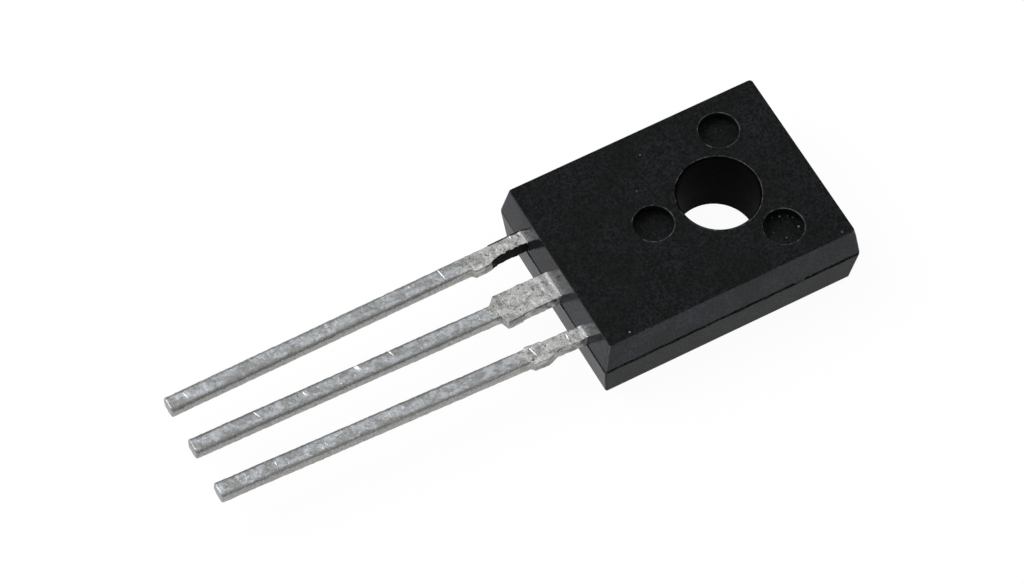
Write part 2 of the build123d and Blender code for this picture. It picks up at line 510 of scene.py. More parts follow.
# %% Shape the groove and the far corners
parting_height = 1.84 * MM
groove_height = 0.2 * MM
groove_depth = 0.1 * MM
groove_unevenness = 0.5 * MM
groove_wander = 0.045 * MM
groove_breaks = ((1.18 * MM, 0.22 * MM), (1.72 * MM, 0.1 * MM))
groove_break_share = 0.08
groove_swing_share = 0.9
groove_least_share = 0.25
groove_near_share = 0.7
groove_bottom = parting_height - groove_height
lip_noise_shift = Vector((0, 0, 5))
lead_pitch = 2.3 * MM
corner_reach = 0.3 * MM
corner_wear_share = 3
corner_find_share = 1.1
parting_insets = (0, 0, 0)
groove_insets = (groove_depth, groove_depth, groove_depth)


def groove_share(x, y):
    """Share of the groove's depth: none past the emitter lead, little at the breaks, else uneven."""
    if x < -lead_pitch and y < body_low.y + corner_reach:
        return 0
    if x > 0 and any(abs(y - place) < reach for place, reach in groove_breaks):
        return groove_break_share
    uneven = 1 + groove_swing_share * noise.noise(Vector((x, y, 0)) / groove_unevenness)
    share = min(max(uneven, groove_least_share), 1)
    if x > body_high.x - corner_reach and y < groove_breaks[0][0]:
        share *= groove_near_share
    return share


def wander_lip(verts):
    """Lets the lower lip of the groove rise and fall a little along the sides."""
    for vert in verts:
        vert.co.z += groove_wander * noise.noise(vert.co / groove_unevenness + lip_noise_shift)


def fade_groove(verts):
    """Moves the groove's points out to the parting outline: wholly at the corners, else by their share."""
    half, low, high = section_outline(groove_insets)
    out_half, out_low, out_high = section_outline(parting_insets)
    for vert in verts:
        off_side = half - abs(vert.co.x)
        off_end = min(vert.co.y - low, high - vert.co.y)
        at_corner = min(off_side, off_end) > hair
        out = 1 if at_corner else 1 - groove_share(vert.co.x, vert.co.y)
        along = (vert.co.y - low) / (high - low)
        vert.co.x += out * vert.co.x * (out_half / half - 1)
        vert.co.y += out * (out_low + along * (out_high - out_low) - vert.co.y)


def wear_far_corners(verts, insets):
    """Widens the round of the two corners at the far end, as handling does near the front."""
    half, _, high = section_outline(insets)
    for vert in verts:
        off_side, off_end = half - abs(vert.co.x), high - vert.co.y
        if max(off_side, off_end) < corner_find_share * far_end_corner_radius:
            vert.co.x -= math.copysign((corner_wear_share - 1) * off_side, vert.co.x)
            vert.co.y -= (corner_wear_share - 1) * off_end


print("parting line", parting_height / MM, "mm above the back, with", len(groove_breaks), "breaks")

# %% [markdown]
# ## Stack the sections
#
# From the back to the front: the lower half opens out to the parting line, the groove steps in and out
# again, and the upper half closes in to the front. Points that fall on each other where the groove runs
# out are merged. The front and back edges are bevelled last, with small radii, because they are crisp.

# %% Extrude the body from section to section
front_insets = (0.19 * MM, 0.24 * MM, 0.19 * MM)
back_insets = (0.18 * MM, 0.17 * MM, 0.22 * MM)
wear_height = 0.35 * MM
front_edge_radius = 0.03 * MM
back_edge_radius = 0.04 * MM
rounding_segments = 4


def body_sections():
    bm = bmesh.new()
    back = first_section(bm, back_insets)
    face = next_section(bm, back, back_insets, parting_insets, groove_bottom)
    lip_verts = list(face.verts)
    face = next_section(bm, face, parting_insets, groove_insets, groove_bottom)
    lip_verts += face.verts
    groove_verts = list(face.verts)
    face = next_section(bm, face, groove_insets, groove_insets, parting_height)
    groove_verts += face.verts
    face = next_section(bm, face, groove_insets, parting_insets, parting_height)
    worn_share = 1 - wear_height / (body_high.z - parting_height)
    worn_insets = tuple(worn_share * inset for inset in front_insets)
    face = next_section(bm, face, parting_insets, worn_insets, body_high.z - wear_height)
    face = next_section(bm, face, worn_insets, front_insets, body_high.z)
    wear_far_corners(face.verts, front_insets)
    fade_groove(groove_verts)
    wander_lip(lip_verts)
    bmesh.ops.remove_doubles(bm, verts=bm.verts[:], dist=hair)
    back = min(bm.faces, key=lambda part: part.calc_center_median().z)
    front = max(bm.faces, key=lambda part: part.calc_center_median().z)
    for end_face, radius in ((front, front_edge_radius), (back, back_edge_radius)):
        bmesh.ops.bevel(
            bm, geom=list(end_face.edges), offset=radius, offset_type="OFFSET",
            segments=rounding_segments, profile=0.5, affect="EDGES", material=-1,
        )
    bmesh.ops.recalc_face_normals(bm, faces=bm.faces[:])
    return bm


def new_piece(name, bm, finishes):
    """Turns a bmesh into an object at the origin with its finishes."""
    mesh = bpy.data.meshes.new(name)
    bm.to_mesh(mesh)
    bm.free()
    for finish in finishes:
        mesh.materials.append(finish)
    piece = bpy.data.objects.new(name, mesh)
    bpy.context.scene.collection.objects.link(piece)
    return piece


body = new_piece("transistor_body", body_sections(), body_finishes)
print("body has", len(body.data.polygons), "faces before the holes")

# %% [markdown]
# ## Screw hole and pin marks
#
# The screw hole goes right through. Three round marks beside it are where the mould's pins pressed the
# body out. Each is turned as a cutter: a half profile is spun round its axis, so the rounded lip and
# the foot of the mark come with it, and a Boolean takes the cutter away from the body. Bevelling the
# rims after the cut would also work, but it is harder to hold on a face with many holes.

# %% Helpers that turn and cut
turning_steps = 96
lip_steps = 4


def rounded_lip(radius, lip):
    """Points of a rounded rim, from the front face down to the wall of the hole."""
    points = []
    for step in range(lip_steps + 1):
        turn = math.pi / 2 * step / lip_steps
        points.append((radius + lip - lip * math.sin(turn), body_high.z - lip + lip * math.cos(turn)))
    return points


def turn_profile(profile, centre):
    """Spins (radius, height) points round an upright axis at the centre."""
    bm = bmesh.new()
    verts = [bm.verts.new((radius, 0, height)) for radius, height in profile]
    edges = [bm.edges.new(pair) for pair in zip(verts, verts[1:])]
    bmesh.ops.spin(
        bm, geom=verts + edges, cent=(0, 0, 0), axis=(0, 0, 1), dvec=(0, 0, 0),
        angle=math.tau, steps=turning_steps, use_merge=True,
    )
    bmesh.ops.remove_doubles(bm, verts=bm.verts[:], dist=hair)
    bmesh.ops.recalc_face_normals(bm, faces=bm.faces[:])
    bmesh.ops.translate(bm, verts=bm.verts[:], vec=centre)
    return bm


def cut_away(piece, cutter_bm, finish_index):
    """Boolean difference, made at once, so that no modifier or cutter is left."""
    for face in cutter_bm.faces:
        face.material_index = finish_index
    cutter = new_piece("cutter", cutter_bm, body_finishes)
    cut = piece.modifiers.new("cut", "BOOLEAN")
    cut.operation = "DIFFERENCE"
    cut.solver = "EXACT"
    cut.object = cutter
    shaped = piece.evaluated_get(bpy.context.evaluated_depsgraph_get())
    mesh = bpy.data.meshes.new_from_object(shaped)
    piece.modifiers.clear()
    piece.data = mesh
    bpy.data.objects.remove(cutter)


print("cutters are turned in", turning_steps, "steps")

# %% [markdown]
# Each profile runs from the axis out above the front, down the rounded lip and along the wall. The
# hole's ends below the back. A mark's ends on its floor, with a small chamfer at the foot.

# %% Cut the hole and the marks
bore_mount = next(mount for mount in frame["record"]["mounts"] if mount["name"] == "mounting_hole")
hole_radius = bore_mount["dims"]["r_mm"] * MM
hole_lip = 0.085 * MM
mark_count = 3
mark_ring_radius = 2.77 * MM
mark_radius = 0.78 * MM
mark_depth = 0.45 * MM
mark_lip = 0.02 * MM
mark_foot = 0.02 * MM
overrun = 1 * MM

above = body_high.z + overrun
hole_profile = [
    (0, above), (hole_radius + hole_lip, above), *rounded_lip(hole_radius, hole_lip),
    (hole_radius, body_low.z - overrun), (0, body_low.z - overrun),
]
cut_away(body, turn_profile(hole_profile, (0, 0, 0)), bore_index)

mark_floor = body_high.z - mark_depth
mark_profile = [
    (0, above), (mark_radius + mark_lip, above), *rounded_lip(mark_radius, mark_lip),
    (mark_radius, mark_floor + mark_foot), (mark_radius - mark_foot, mark_floor), (0, mark_floor),
]
mark_places = []
for number in range(mark_count):
    turn = math.tau * number / mark_count - math.pi / 2
    mark_places.append(Vector((math.cos(turn), math.sin(turn), 0)) * mark_ring_radius)
for mark_place in mark_places:
    cut_away(body, turn_profile(mark_profile, mark_place), front_index)
print("cut", mark_count, "marks and a hole of", round(2 * hole_radius / MM, 2), "mm")

# %% [markdown]
# ## Finishes of the body
#
# Faces that look up, on the front and on the floors of the marks, get the grained finish. The faces of
# the groove get theirs only where it is deep enough to show. Normals are smoothed except at real
# edges, and weighted by face area, so that flat faces stay flat in a reflection. A Weighted Normal
# modifier does much the same. A short function leaves plain mesh data and no live modifier.

# %% Share out the finishes and smooth the normals
level_limit = 0.9
corner_limit = 0.35
groove_seen_share = 0.1
sharp_angle = math.radians(40)


def smooth_by_angle(mesh, angle):
    """Normals weighted by face area over all faces round a point that meet within the angle."""
    least_dot = math.cos(angle)
    around = [[] for _ in mesh.vertices]
    for face in mesh.polygons:
        for corner in face.vertices:
            around[corner].append(face)
    normals = []
    for face in mesh.polygons:
        for corner in face.vertices:
            smooth = [other for other in around[corner] if face.normal.dot(other.normal) > least_dot]
            normals.append(sum((other.normal * other.area for other in smooth), Vector()).normalized())
    mesh.shade_smooth()
    mesh.normals_split_custom_set(normals)


for face in body.data.polygons:
    if face.material_index == side_index:
        height = face.center.z
        shallow = groove_share(face.center.x, face.center.y) < groove_seen_share
        if height < groove_bottom - groove_wander or (shallow and height < parting_height - hair):
            face.material_index = lower_index
        elif height < parting_height + hair:
            face.material_index = groove_index
        elif face.normal.z > level_limit:
            face.material_index = front_index
        # Rounded corners get the painted highlight.
        elif min(abs(face.normal.x), abs(face.normal.y)) > corner_limit:
            face.material_index = corner_highlight_index
smooth_by_angle(body.data, sharp_angle)
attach(body, "root")
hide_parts("moulded_body")
print("body has", len(body.data.polygons), "faces and", mark_count, "pin marks")

# %% [markdown]
# ## Burrs and specks
#
# Each rim carries a thin burr that the mould left and that handling has broken. Its lighter colour is
# a painted highlight. It is a turned ring with a closed profile, whose height follows noise, so that it
# comes and goes round the rim. The specks are grains of filler that lie bare: flattened balls, half
# sunk in the front face, in one of the marks and in the long side.

# %% Turn the burrs and set the specks
burr_width = 0.06 * MM
burr_height = 0.014 * MM
burr_sink = 0.03 * MM
burr_spacing = 0.3 * MM
burr_side = Vector((0.34, 0.94))
burr_crest_share = 0.2
burr_shoulder_share = 0.6
burr_shoulder_height_share = 0.7
burr_swell_share = 0.35
burr_facing_share = 0.6
burr_noise_share = 1.3
burr_least_share = -1
burr_most_share = 1.3
burr_seed_step = 7
hole_burr_share = 0.7
mark_burr_share = 0.5
specks_mm = [
    (-1.52, -2.61, 3.2, 0.03), (3.63, 3.14, 3.2, 0.035), (3.63, -5.82, 3.2, 0.04),
    (-2.84, -1.73, 3.2, 0.025), (1.64, 1.36, 2.76, 0.028), (1.72, 1.62, 2.76, 0.035),
    (1.85, 1.91, 2.76, 0.03), (1.98, 2.02, 2.76, 0.026), (2.44, 2.03, 2.76, 0.042),
    (2.22, 1.07, 2.76, 0.022), (2.64, 1.39, 2.75, 0.02), (0.78, 1.44, 3.13, 0.04),
    (3.985, 1.01, 1.87, 0.035), (3.945, 0.47, 2.14, 0.03),
]
speck_flatness_share = 0.5


def burr_ring(radius, centre, seed):
    """Low ring on a rim. It is highest on the side away from the leads, and noise breaks it up."""
    front = body_high.z
    profile = [
        (radius, front - burr_sink),
        (radius + burr_width * burr_crest_share, front + burr_height),
        (radius + burr_width * burr_shoulder_share, front + burr_height * burr_shoulder_height_share),
        (radius + burr_width, front - burr_sink),
    ]
    bm = turn_profile([*profile, profile[0]], centre)
    for vert in bm.verts:
        if vert.co.z > front:
            facing = (vert.co - centre).xy.normalized().dot(burr_side)
            broken = noise.noise(vert.co / burr_spacing + Vector((seed, 0, 0)))
            swell = burr_swell_share + burr_facing_share * facing + burr_noise_share * broken
            swell = min(max(swell, burr_least_share), burr_most_share)
            vert.co.z = front + (vert.co.z - front) * swell
    return bm


# The burrs' lighter blotches are a painted highlight.
rim_highlight = highlight_and_filler_finish("rim_highlight", (0.01, 0.011, 0.011), (0.085, 0.09, 0.1), 0.4, 0.7)
bare_grain = highlight_and_filler_finish("bare_filler", (0.06, 0.06, 0.065), (0.24, 0.24, 0.25), 0.3, 0.7)
rims = [(hole_radius + hole_lip * hole_burr_share, Vector((0, 0, 0)))]
rims += [(mark_radius - mark_lip * mark_burr_share, mark_place) for mark_place in mark_places]
for number, (radius, centre) in enumerate(rims):
    burr_bm = burr_ring(radius, centre, burr_seed_step * number)
    burr = new_piece("burr_" + str(number + 1), burr_bm, [rim_highlight])
    burr.data.shade_smooth()
    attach(burr, "root")

speck_bm = bmesh.new()
for x, y, z, radius in specks_mm:
    place = Matrix.Translation(Vector((x, y, z)) * MM) @ Matrix.Diagonal((1, 1, speck_flatness_share, 1))
    bmesh.ops.create_icosphere(speck_bm, subdivisions=2, radius=radius * MM, matrix=place)
specks = new_piece("filler_specks", speck_bm, [bare_grain])
specks.data.shade_smooth()
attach(specks, "root")
print(len(rims), "burrs and", len(specks_mm), "specks")

# %% [markdown]
# ## Tin
#
# The leads are copper strip dipped in solder. The coat is thick on the flats, with cloudy patches and
# stains that are drawn out along the lead, and a greener grey on the sheared sides. The upper edge of
# each side is painted darker, as painted shade. Near the body it is paler, with small dark pits, and a
# painted highlight lines the place where the lead leaves the body. One metal with masks for height,
# place and slope does all this, because the zones run into each other with ragged edges, and separate
# materials would meet in a line. A second, near-white finish serves the fresh scratches, partly as
# fresh metal and partly as a painted glint.

# %% Masks for the tin


def normal_part(tree, axis):
    """Size of one part of the normal. For Z it is 1 on level faces and 0 on upright ones."""
    geometry = tree.nodes.new("ShaderNodeNewGeometry")
    split = tree.nodes.new("ShaderNodeSeparateXYZ")
    link(tree, geometry.outputs["Normal"], split.inputs[0])
    return arithmetic(tree, "ABSOLUTE", split.outputs[axis])


def place_part(tree, axis):
    """One part of the place on the object, in metres."""
    place = tree.nodes.new("ShaderNodeTexCoord")
    split = tree.nodes.new("ShaderNodeSeparateXYZ")
    link(tree, place.outputs["Object"], split.inputs[0])
    return split.outputs[axis]


def ramp(tree, value, low, high):
    """Soft step from 0 to 1 between two values."""
    node = tree.nodes.new("ShaderNodeMapRange")
    node.interpolation_type = "SMOOTHSTEP"
    node.inputs["From Min"].default_value = low
    node.inputs["From Max"].default_value = high
    link(tree, value, node.inputs["Value"])
    return node.outputs["Result"]


def ragged(tree, value, wobble, amount):
    """Value moved up and down by a pattern, so that a limit on it gets a ragged edge."""
    return arithmetic(tree, "MULTIPLY_ADD", wobble, amount, value)


def blend_values(tree, one, other):
    """Mean of two patterns."""
    node = tree.nodes.new("ShaderNodeMix")
    for place, value in zip(mix_number_inputs, (one, other)):
        link(tree, value, node.inputs[place])
    return node.outputs[0]


# %% [markdown]
# The limits below say where one zone of the coat gives way to the next: along the lead for the pale
# stretch near the body and for the painted highlight where it leaves the body, in height for the
# sheared sides and the painted shade of the upper edge above them, and in slope for the flats and the
# cut ends.

# %% Make the finishes of the leads
drawn_out_shares = (1, 2, 1)
root_limits = (-10.2 * MM, -9.3 * MM)
body_highlight_limits = (-7.08 * MM, -6.96 * MM)
body_highlight_wobble = 0.12 * MM
side_limits = (2.0 * MM, 2.12 * MM)
side_wobble = 0.24 * MM
level_limit_shares = (0.96, 1.12)
level_wobble_share = 0.26
cut_limit_shares = (0.2, 0.6)
dull_share = -0.5
tin_roughness = (0.32, 0.65)
mottle_bump_share = 0.5
tin_bump_depth_mm = 0.006
tin_bump_strength = 0.8
scratch_roughness = (0.5, 0.3)
coat_tones = ((0.355, 0.368, 0.376), (0.53, 0.56, 0.594))
coat_mottle_tones = ((0.3, 0.311, 0.314), (0.46, 0.482, 0.5))
stain_tone = (0.27, 0.278, 0.27)
root_tones = ((0.45, 0.455, 0.45), (0.72, 0.725, 0.72))
root_mottle_tone = (0.41, 0.41, 0.405)
pit_tone = (0.12, 0.12, 0.112)
glint_tone = (0.97, 0.97, 0.97)
body_highlight_tone = (0.9, 0.9, 0.9)
shaded_edge_tones = ((0.24, 0.243, 0.232), (0.4, 0.404, 0.388))
sheared_tones = ((0.25, 0.253, 0.236), (0.4, 0.404, 0.38))
root_side_tones = ((0.2, 0.202, 0.185), (0.42, 0.423, 0.4))
cut_tones = ((0.33, 0.335, 0.33), (0.5, 0.51, 0.51))
scratch_glint_tones = ((0.8, 0.8, 0.8), (0.95, 0.95, 0.95))
scratch_metal_share = 0.6


def tin_finish():
    material, tree, shader = new_finish("solder_dipped_tin")
    drawn_out = millimetres(tree, drawn_out_shares)
    plain = millimetres(tree)
    clouds = pattern(tree, blotches, drawn_out, Size=0.26, Low=0.36, High=0.62)
    stains = pattern(tree, blotches, drawn_out, Size=0.17, Low=0.54, High=0.64)
    mottle = pattern(tree, blotches, plain, Size=0.07, Low=0.28, High=0.74)
    pits = pattern(tree, blotches, plain, Size=0.11, Low=0.6, High=0.67)
    glints = pattern(tree, blotches, plain, Size=0.09, Low=0.66, High=0.72)
    ragged_mask = blend_values(tree, clouds, mottle)
    along = place_part(tree, "Y")
    # Flats of the free leads
    coat = blend(tree, clouds, *coat_tones)
    coat = blend(tree, stains, coat, stain_tone)
    coat = blend(tree, mottle, blend(tree, clouds, *coat_mottle_tones), coat)
    # Flats near the body, and the painted highlight line at the body
    root = blend(tree, clouds, *root_tones)
    root = blend(tree, mottle, root_mottle_tone, root)
    root = blend(tree, pits, root, pit_tone)
    root_share = ramp(tree, along, *root_limits)
    top = blend(tree, glints, blend(tree, root_share, coat, root), glint_tone)
    body_highlight = ramp(tree, ragged(tree, along, mottle, body_highlight_wobble), *body_highlight_limits)
    top = blend(tree, body_highlight, top, body_highlight_tone)
    # Sheared sides, and above them the upper edge in painted shade
    shaded_edge = blend(tree, mottle, *shaded_edge_tones)
    sheared = blend(tree, mottle, *sheared_tones)
    root_side = blend(tree, clouds, *root_side_tones)
    upper_side = ragged(tree, place_part(tree, "Z"), ragged_mask, side_wobble)
    edge = blend(tree, ramp(tree, upper_side, *side_limits), sheared, shaded_edge)
    edge = blend(tree, root_share, edge, root_side)
    ragged_level = ragged(tree, normal_part(tree, "Z"), ragged_mask, level_wobble_share)
    tone = blend(tree, ramp(tree, ragged_level, *level_limit_shares), edge, top)
    # Cut ends, which are duller
    cut_end = ramp(tree, normal_part(tree, "Y"), *cut_limit_shares)
    cut = blend(tree, mottle, *cut_tones)
    link(tree, blend(tree, cut_end, tone, cut), shader.inputs["Base Color"])
    dullness = ragged(tree, cut_end, mottle, dull_share)
    link(tree, spread(tree, dullness, *tin_roughness, dull_share), shader.inputs["Roughness"])
    shader.inputs["Metallic"].default_value = 1
    height = ragged(tree, pits, mottle, mottle_bump_share)
    raise_bump(tree, shader, height, tin_bump_depth_mm, tin_bump_strength)
    return material


def scratch_glint_finish():
    material, tree, shader = new_finish("fresh_scratch_glint")
    streaks = pattern(tree, blotches, millimetres(tree), Size=0.05, Low=0.3, High=0.7)
    # Near-white and partly diffuse: partly fresh metal, partly a painted glint.
    link(tree, blend(tree, streaks, *scratch_glint_tones), shader.inputs["Base Color"])
    link(tree, spread(tree, streaks, *scratch_roughness), shader.inputs["Roughness"])
    shader.inputs["Metallic"].default_value = scratch_metal_share
    return material


tin = tin_finish()
scratch_glint = scratch_glint_finish()
print("finishes:", tin.name, scratch_glint.name)

# %% [markdown]
# ## Leads
#
# Each lead is one strip: a post inside the body, the trimmed stubs of the bar that once joined the
# leads, and a long free end. It is extruded ring by ring from a rounded rectangle. Every vertex keeps
# its place in the first ring, so each ring can follow the two side outlines and still hold its
# rounded corners. Near the body the corners are crisp, and further out the solder rounds them. Then
# the skin is moved in and out by noise, because a dipped coat is never quite even.

# %% Name the sizes of the leads
lead_width = 0.64 * MM
lead_low, lead_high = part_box("emitter_lead")
lead_top = lead_high.z
lead_bottom = lead_low.z
lead_end = body_low.y
lead_tip = lead_low.y
free_length = lead_end - lead_tip
emitter_shift = 0.1 * MM
collector_shift = -0.24 * MM
base_shift = -0.5 * MM
dam_start = 1.5 * MM
dam_stop = 2.3 * MM
dam_near = lead_end - dam_start
dam_far = lead_end - dam_stop
dam_slope = 0.12 * MM
dam_stub = 0.15 * MM
emitter_lead_in = 0.4 * MM
base_lead_in = 0.35 * MM
small_stub = 0.06 * MM
shoulder_width = 1.23 * MM
shoulder_slope = 0.3 * MM
post_width = 1.5 * MM
post_length = 0.9 * MM
post_inner = lead_high.y
post_outer = post_inner - post_length
print("free leads of", round(free_length / MM, 2), "mm, trimmed bar", dam_start / MM, "mm from the body")

# %% [markdown]
# The plan of a lead is two lists of (y, x) points, one down each side, from the end in the body to the
# tip. An outer lead has a post in the body and stubs of the trimmed bar. The centre lead is wide as far
# as the bar. Each free end leans over a little on its way to the tip.

# %% Draw the sides of the leads


def stubbed_side(edge, shift, outward, stub, lead_in=0):
    """(y, x) points down one side of an outer lead, from the post to the tip."""
    post_edge = edge + outward * (post_width - lead_width) / 2

    def lean(y):
        return shift * (lead_end - y) / free_length

    points = [(post_inner, post_edge), (post_outer, post_edge)]
    points += [(post_outer - hair, edge), (lead_end, edge)]
    if stub:
        points += [
            (dam_near + lead_in, edge + lean(dam_near)),
            (dam_near - dam_slope, edge + lean(dam_near) + outward * stub),
            (dam_far + dam_slope, edge + lean(dam_far) + outward * stub),
            (dam_far, edge + lean(dam_far)),
        ]
    return points + [(lead_tip, edge + shift)]


def outer_sides(place, shift, left_stub, right_stub, right_lead_in=0):
    left = stubbed_side(place - lead_width / 2, shift, -1, left_stub)
    right = stubbed_side(place + lead_width / 2, shift, 1, right_stub, right_lead_in)
    return left, right


def centre_sides():
    half_width = lead_width / 2
    half_shoulder = shoulder_width / 2
    crest = half_shoulder + small_stub
    shoulder_end = dam_far + dam_slope
    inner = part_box("collector_lead")[1].y
    left = [
        (inner, -half_shoulder), (shoulder_end, -half_shoulder),
        (shoulder_end - shoulder_slope, -half_width), (lead_tip, -half_width + collector_shift),
    ]
    right = [
        (inner, half_shoulder), (dam_near, half_shoulder), (dam_near - dam_slope, crest),
        (shoulder_end, crest), (shoulder_end - dam_slope, half_width),
        (lead_tip, half_width + collector_shift),
    ]
    return left, right


def value_along(points, place):
    """Straight interpolation in a list of (place, value) points that runs down in place."""
    for (place_0, value_0), (place_1, value_1) in zip(points, points[1:]):
        if place >= place_1:
            return value_0 + (value_1 - value_0) * (place_0 - place) / (place_0 - place_1)
    return points[-1][1]


# %% [markdown]
# The ring starts as a grid with its corners bevelled and its flat sides cut up, so that the noise has
# points to move. `across` and `upward` keep each point's place in that first ring.

# %% Make the first ring
ring_corner = 0.2 * MM
ring_corner_segments = 6
flat_cuts = 10
half_width = lead_width / 2
half_thickness = (lead_top - lead_bottom) / 2
lead_middle = (lead_top + lead_bottom) / 2


def first_ring(bm):
    upright = Matrix.Rotation(math.pi / 2, 4, "X")
    shape = Matrix.Diagonal((half_width, half_thickness, 1, 1))
    bmesh.ops.create_grid(bm, x_segments=1, y_segments=1, size=1, matrix=upright @ shape)
    bmesh.ops.bevel(
        bm, geom=bm.verts[:], offset=ring_corner, offset_type="OFFSET",
        segments=ring_corner_segments, profile=0.5, affect="VERTICES", material=-1,
    )
    longest = sorted(bm.edges, key=lambda edge: edge.calc_length())[-long_side_count:]
    bmesh.ops.subdivide_edges(bm, edges=longest, cuts=flat_cuts)
    across = bm.verts.layers.float.new("across")
    upward = bm.verts.layers.float.new("upward")
    for vert in bm.verts:
        vert[across] = vert.co.x
        vert[upward] = vert.co.z
    return bm.faces[:][0], across, upward


# %% [markdown]
# Every further ring is fitted to the outlines at its own place. Up to the trimmed bar its corners stay
# crisp. From there on the coat gets thicker and rounds them, and at the tip the ring draws in.

# %% Extrude a lead ring by ring
crisp_share = 0.3
crisp_until = dam_far
coat_run = 1.2 * MM
coat_thickness = 0.035 * MM
ring_step = 0.05 * MM
tip_rounding = 0.07 * MM
tip_rings = 8


def coat_share(y):
    """Share of the full solder coat: none at the body, full a little past the trimmed bar."""
    return min(max((crisp_until - y) / coat_run, 0), 1)


def tip_inset(y):
    """How far the skin draws in on the rounded tip."""
    left = min(max(y - lead_tip, 0), tip_rounding)
    return tip_rounding - math.sqrt(tip_rounding**2 - (tip_rounding - left) ** 2)


def shape_ring(verts, layers, sides, y, lift):
    """Fits one ring to the side outlines, the solder coat and the tip at its place."""
    across, upward = layers
    coat = coat_share(y)
    swell = coat * coat_thickness - tip_inset(y)
    radius = ring_corner * (crisp_share + (1 - crisp_share) * coat)
    left = value_along(sides[0], y) - swell
    right = value_along(sides[1], y) + swell
    top = half_thickness + swell
    flat_half = half_width - ring_corner
    flat_rise = half_thickness - ring_corner
    for vert in verts:
        u, w = vert[across], vert[upward]
        out = max(abs(u) - flat_half, 0) / ring_corner * radius
        rise = max(abs(w) - flat_rise, 0) / ring_corner * radius
        if abs(u) > flat_half - hair:
            x = right - radius + out if u > 0 else left + radius - out
        else:
            share = (u + flat_half) / (2 * flat_half)
            x = left + radius + share * (right - left - 2 * radius)
        if abs(w) > flat_rise - hair:
            z = math.copysign(top - radius + rise, w)
        else:
            z = w * (top - radius) / flat_rise
        vert.co = (x, y, lead_middle + z + lift)


def ring_places(sides):
    """Evenly spaced places, with one at each corner of the outlines and more on the round tip."""
    inner = sides[0][0][0]
    count = math.ceil((inner - lead_tip - tip_rounding) / ring_step)
    places = [inner - (inner - lead_tip - tip_rounding) * step / count for step in range(count + 1)]
    places += [y for side in sides for y, _ in side if y > lead_tip + tip_rounding]
    for ring in range(1, tip_rings + 1):
        places.append(lead_tip + tip_rounding * (1 - math.sin(ring / tip_rings * math.pi / 2)))
    return sorted(set(places), reverse=True)


def extrude_lead(sides, lifts):
    bm = bmesh.new()
    cap, *layers = first_ring(bm)
    places = ring_places(sides)
    shape_ring(cap.verts, layers, sides, places[0], value_along(lifts, places[0]))
    for y in places[1:]:
        cap = extrude_open_face(bm, cap)
        shape_ring(cap.verts, layers, sides, y, value_along(lifts, y))
    bmesh.ops.recalc_face_normals(bm, faces=bm.faces[:])
    return bm


# %% [markdown]
# The coat's unevenness has three sizes: long swells along the lead, lumps about as wide as the lead's
# edge, and a fine orange peel. Inside the body nothing is moved.

# %% Make the coat uneven
root_lump_share = 1.5
coat_fade = 0.1 * MM
offset_run = 0.8 * MM
coat_waves = ((1.1 * MM, 0.006 * MM), (0.36 * MM, 0.007 * MM), (0.14 * MM, 0.012 * MM))


def uneven_coat(bm, seed):
    bm.normal_update()
    moves = []
    for vert in bm.verts:
        free = min(max((lead_end - vert.co.y) / coat_fade, 0), 1)
        rough = root_lump_share if vert.co.y > crisp_until else 1
        move = 0
        for size, depth in coat_waves:
            move += depth * noise.noise(vert.co / size + Vector((seed, 0, 0)))
        moves.append(vert.normal * (move * free * rough))
    for vert, move in zip(bm.verts, moves):
        vert.co += move


level = [(lead_high.y, 0), (lead_tip, 0)]
offset_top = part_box("collector_lead")[1].y
offset_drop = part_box("collector_lead")[0].z - lead_bottom
offset_start = lead_end + offset_run
offset = [(offset_top, offset_drop), (offset_start, 0), (lead_tip, 0)]
# Side outlines, lift along the lead and seed of the noise
leads = {
    "emitter_lead": (outer_sides(-lead_pitch, emitter_shift, 0, dam_stub, emitter_lead_in), level, 3),
    "collector_lead": (centre_sides(), offset, 17),
    "base_lead": (outer_sides(lead_pitch, base_shift, small_stub, dam_stub, base_lead_in), level, 29),
}
for node, (sides, lifts, seed) in leads.items():
    lead_bm = extrude_lead(sides, lifts)
    uneven_coat(lead_bm, seed)
    lead = new_piece("tinned_" + node, lead_bm, [tin])
    smooth_by_angle(lead.data, sharp_angle)
    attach(lead, "root")
    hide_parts(node)
    print(lead.name, "has", len(lead.data.polygons), "faces")

# %% [markdown]
# ## Scratches
#
# Where the leads rubbed against each other, ridges of fresh tin stand across them. Their near-white
# colour is partly the fresh metal and partly a painted glint. Each is a short curve with a round bevel.
# Its points are dropped onto the lead with a ray from above, so that the ridge follows the rounded top.
# Its ends are thinned out and closed, and it becomes a mesh.

# %% Lay the scratches on the leads
scratch_lines_mm = {
    "emitter_lead": [
        ((-2.55, -10.44), (-2.03, -10.35), 1), ((-2.36, -21.0), (-2.05, -20.91), 1),
        ((-2.6, -7.4), (-2.42, -7.39), 0.8),
    ],
    "collector_lead": [
        ((-0.41, -19.12), (-0.09, -18.99), 1), ((-0.34, -17.18), (-0.07, -17.1), 0.9),
        ((-0.42, -13.66), (-0.06, -13.55), 1), ((-0.4, -14.98), (-0.08, -14.86), 1.2),
        ((-0.4, -15.05), (-0.08, -14.93), 1.2), ((0.42, -7.7), (0.45, -7.45), 0.8),
    ],
    "base_lead": [
        ((1.75, -19.37), (1.97, -19.38), 0.9), ((1.97, -9.07), (2.41, -8.96), 1),
        ((2.09, -7.59), (2.36, -7.62), 1),
    ],
}
scratch_radius = 0.032 * MM
scratch_points = 9
scratch_bevel_steps = 2
scratch_end_share = 0.45


